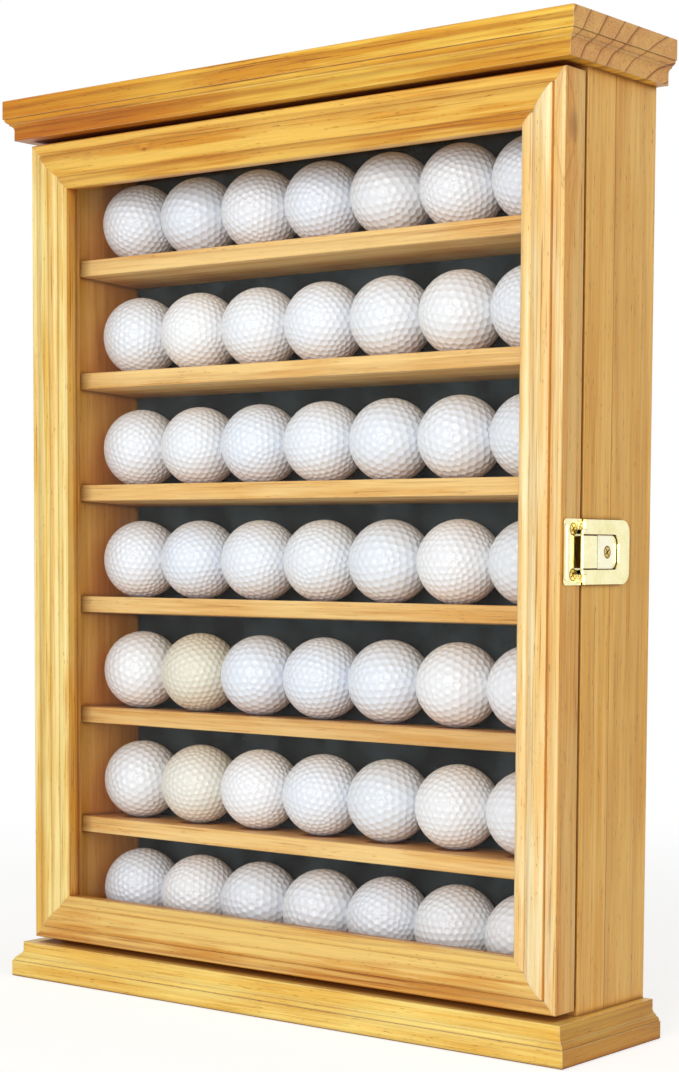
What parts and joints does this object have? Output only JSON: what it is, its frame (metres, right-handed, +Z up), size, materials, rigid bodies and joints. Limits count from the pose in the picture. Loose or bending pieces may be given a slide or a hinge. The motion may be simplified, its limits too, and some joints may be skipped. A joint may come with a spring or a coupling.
{
  "type": "golf ball display case",
  "caption": "Moulded pine display case with shelves of golf balls behind a hinged, glazed and mitred door with a brass side latch.",
  "frame": {"origin": "under the middle of the overall outline, on the surface that the base stands on", "axes": "+Z up, +X towards the latch side, -Y towards the glazed front, +Y towards the flat back"},
  "size_m": [0.364, 0.09, 0.477],
  "materials": {
    "pine": "satin varnish",
    "plywood": "raw",
    "felt": "napped",
    "ball": "dimpled gloss",
    "glass": "clear",
    "brass": "polished",
    "steel": "zinc plated"
  },
  "bodies": {
    "case": {"crown_board": "pine", "base_board": "pine", "side_panel_left": "pine", "side_panel_right": "pine", "top_panel": "pine", "bottom_panel": "pine", "shelf_1": "pine", "shelf_2": "pine", "shelf_3": "pine", "shelf_4": "pine", "shelf_5": "pine", "shelf_6": "pine", "back_panel": "plywood", "back_lining": "felt", "golf_balls_row_1": "ball", "golf_balls_row_2": "ball", "golf_balls_row_3": "ball", "golf_balls_row_4": "ball", "golf_balls_row_5": "ball", "golf_balls_row_6": "ball", "golf_balls_row_7": "ball", "hinge_case_leaf_lower": "brass", "hinge_case_leaf_upper": "brass", "hinge_pin_lower": "brass", "hinge_pin_upper": "brass", "hinge_case_screws": "brass", "keeper_plate": "brass", "keeper_screw": "brass", "hanger_plate_left": "steel", "hanger_plate_right": "steel", "hanger_screws": "steel", "crown_screws": "steel", "base_screws": "steel", "back_panel_brads": "steel"},
    "door": {"door_stile_left": "pine", "door_stile_right": "pine", "door_rail_top": "pine", "door_rail_bottom": "pine", "glazing_strip_top": "pine", "glazing_strip_bottom": "pine", "glazing_strip_left": "pine", "glazing_strip_right": "pine", "door_glass": "glass", "hinge_door_leaf_lower": "brass", "hinge_door_leaf_upper": "brass", "hinge_door_screws": "brass", "latch_plate": "brass", "latch_plate_screws": "brass", "lever_pivots": "brass"},
    "lever": {"latch_lever": "brass", "link_pin": "brass"},
    "link": {"latch_link": "brass"}
  },
  "joints": [
    {"name": "door_swing", "type": "hinge", "parent": "case", "child": "door", "pos_m": [-0.1736, -0.01625, 0.238], "axis": [0, 0, -1], "range_deg": [0, 180]},
    {"name": "lever_swing", "type": "hinge", "parent": "door", "child": "lever", "pos_m": [0.1747, -0.0195, 0.236], "axis": [0, 0, -1], "range_deg": [0, 110]},
    {"name": "link_swing", "type": "hinge", "parent": "lever", "child": "link", "pos_m": [0.1747, -0.0208, 0.236], "axis": [0, 0, -1], "range_deg": [0, 60]}
  ]
}
